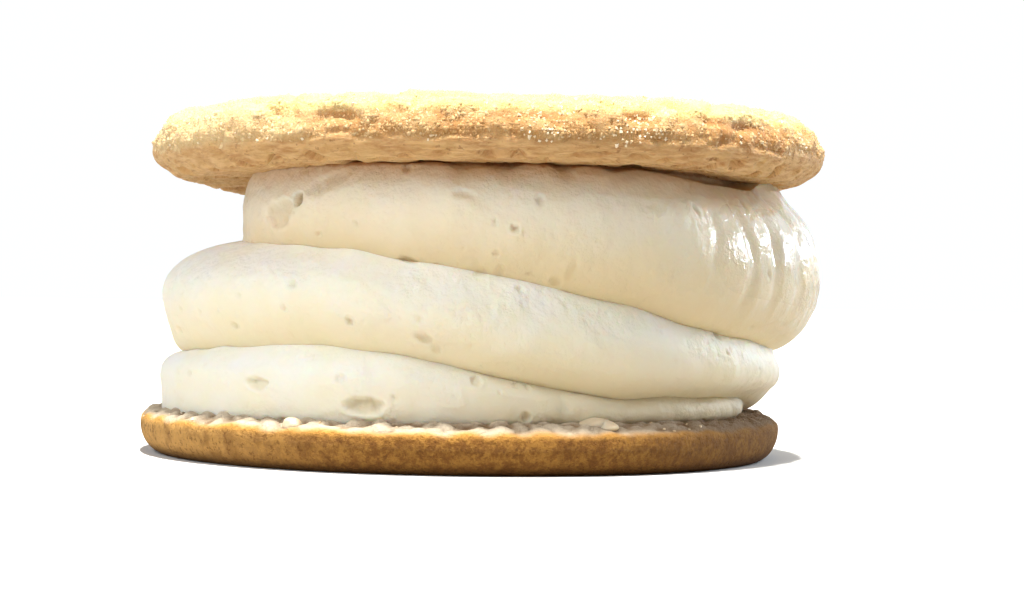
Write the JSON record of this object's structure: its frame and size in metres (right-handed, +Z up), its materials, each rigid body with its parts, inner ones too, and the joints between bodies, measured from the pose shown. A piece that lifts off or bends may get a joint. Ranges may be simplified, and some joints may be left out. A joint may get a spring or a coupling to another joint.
{
  "type": "milk cream sandwich biscuit",
  "caption": "Round sandwich biscuit: a thick piped swirl of pale milk cream between a lower biscuit and a wider upper one with a craggy golden top.",
  "frame": {"origin": "middle of the lower biscuit's flat base", "axes": "+Z up through the stack, -Y to the front shown in the picture, +X to its right"},
  "size_m": [0.0654, 0.0662, 0.0328],
  "materials": {
    "browned_biscuit": "baked biscuit: matt, golden brown side, paler lumpy top, dark foot",
    "milk_cream": "whipped milk cream: soft satin, glossy where it is squeezed out on the right",
    "golden_biscuit": "baked biscuit: matt, pale golden crumbs with browner clefts and small sugar glints"
  },
  "bodies": {
    "root": {"lower_biscuit": "browned_biscuit", "milk_cream": "milk_cream", "upper_biscuit": "golden_biscuit"}
  },
  "joints": []
}
